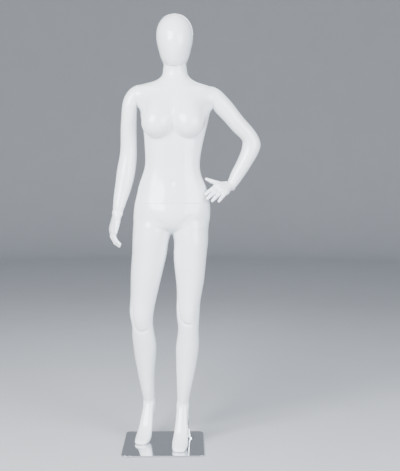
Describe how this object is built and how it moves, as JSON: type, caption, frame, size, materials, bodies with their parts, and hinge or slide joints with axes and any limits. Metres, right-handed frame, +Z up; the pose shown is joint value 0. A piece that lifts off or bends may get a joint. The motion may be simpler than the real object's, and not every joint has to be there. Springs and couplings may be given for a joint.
{
  "type": "full body display mannequin",
  "caption": "Female shop mannequin with a featureless egg head, one hand on the hip, standing on tiptoe on a square mirror-polished base with a leaning calf rod.",
  "frame": {"origin": "centre of the base pad's underside, on the floor", "axes": "+Z up, the figure faces -Y, its left hand side is +X"},
  "size_m": [0.6132, 0.33, 1.7537],
  "materials": {
    "white_shell": "smooth satin-gloss white lacquer on a moulded shell",
    "polished_steel": "mirror polished",
    "bright_steel": "bright drawn steel",
    "zinc_plate": "zinc plated",
    "birch_plywood": "unvarnished birch plywood",
    "black_nylon": "turned nylon",
    "black_foam": "thin anti-slip foam"
  },
  "bodies": {
    "base": {"base_pad": "black_foam", "base_plate": "polished_steel", "rod_flange": "polished_steel", "flange_screw": "zinc_plate", "rod_grub_screw": "zinc_plate", "calf_rod": "polished_steel"},
    "lower_body": {"lower_body_shell": "white_shell", "calf_socket": "bright_steel", "calf_block": "birch_plywood", "waist_lower_board": "birch_plywood", "waist_socket": "bright_steel", "waist_socket_screw_1": "zinc_plate", "waist_socket_screw_2": "zinc_plate", "waist_socket_screw_3": "zinc_plate", "waist_socket_screw_4": "zinc_plate"},
    "torso": {"torso_shell": "white_shell", "waist_upper_board": "birch_plywood", "waist_spigot": "bright_steel", "waist_spigot_screw_1": "zinc_plate", "waist_spigot_screw_2": "zinc_plate", "waist_spigot_screw_3": "zinc_plate", "waist_spigot_screw_4": "zinc_plate", "right_shoulder_board": "birch_plywood", "right_keyhole_plate": "bright_steel", "right_plate_screw_1": "zinc_plate", "right_plate_screw_2": "zinc_plate", "left_shoulder_board": "birch_plywood", "left_keyhole_plate": "bright_steel", "left_plate_screw_1": "zinc_plate", "left_plate_screw_2": "zinc_plate", "neck_board": "birch_plywood", "neck_pin": "bright_steel"},
    "head": {"head_shell": "white_shell", "head_disc": "birch_plywood", "neck_bush": "black_nylon"},
    "right_arm": {"right_arm_shell": "white_shell", "right_arm_plug": "birch_plywood", "right_shoulder_stud": "zinc_plate", "right_stud_nut": "zinc_plate", "right_wrist_bush": "black_nylon"},
    "left_arm": {"left_arm_shell": "white_shell", "left_arm_plug": "birch_plywood", "left_shoulder_stud": "zinc_plate", "left_stud_nut": "zinc_plate", "left_wrist_bush": "black_nylon"},
    "right_hand": {"right_hand": "white_shell", "right_wrist_peg": "bright_steel"},
    "left_hand": {"left_hand": "white_shell", "left_wrist_peg": "bright_steel"}
  },
  "joints": [
    {"name": "figure_lift", "type": "slide", "parent": "base", "child": "lower_body", "axis": [-0.0617, -0.101, 0.993], "range_m": [0, 0.09]},
    {"name": "torso_lift", "type": "slide", "parent": "lower_body", "child": "torso", "axis": [0, 0, 1], "range_m": [0, 0.06]},
    {"name": "head_turn", "type": "hinge", "parent": "torso", "child": "head", "pos_m": [0.0485, 0.01, 1.5681], "axis": [0, -0.342, 0.9397], "range_deg": [-60, 60]},
    {"name": "right_arm_swing", "type": "hinge", "parent": "torso", "child": "right_arm", "pos_m": [-0.106, 0.006, 1.4311], "axis": [-1, 0, 0], "range_deg": [0, 90]},
    {"name": "left_arm_swing", "type": "hinge", "parent": "torso", "child": "left_arm", "pos_m": [0.205, 0.006, 1.4241], "axis": [-1, 0, 0], "range_deg": [0, 90]},
    {"name": "right_hand_turn", "type": "hinge", "parent": "right_arm", "child": "right_hand", "pos_m": [-0.1835, -0.002, 0.9671], "axis": [-0.1885, -0.1558, -0.9696], "range_deg": [-45, 45]},
    {"name": "left_hand_turn", "type": "hinge", "parent": "left_arm", "child": "left_hand", "pos_m": [0.278, 0.031, 1.0711], "axis": [0.5945, 0.1555, 0.7889], "range_deg": [0, 45]}
  ]
}
